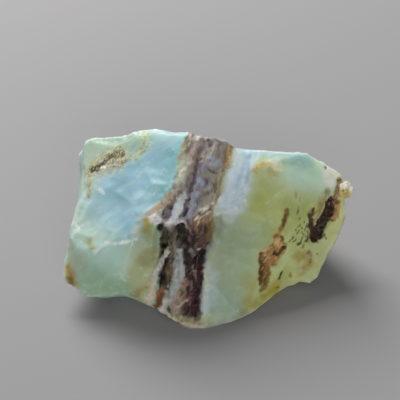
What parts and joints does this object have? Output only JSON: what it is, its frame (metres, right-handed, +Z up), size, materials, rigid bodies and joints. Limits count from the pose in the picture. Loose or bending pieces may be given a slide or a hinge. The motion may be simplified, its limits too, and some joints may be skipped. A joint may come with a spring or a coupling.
{
  "type": "rough opal",
  "caption": "Rough broken lump of pale blue and green opal crossed by a dark layered band of host rock, resting on a flat broken face.",
  "frame": {"origin": "middle of the stone's box on the surface it rests on", "axes": "+X along the stone, towards the end with the small nodule; +Y towards the back; +Z up"},
  "size_m": [0.055, 0.0364, 0.027],
  "materials": {
    "opal": "waxy to glassy broken faces, rough matte rock band"
  },
  "bodies": {
    "root": {"opal": "opal"}
  },
  "joints": []
}
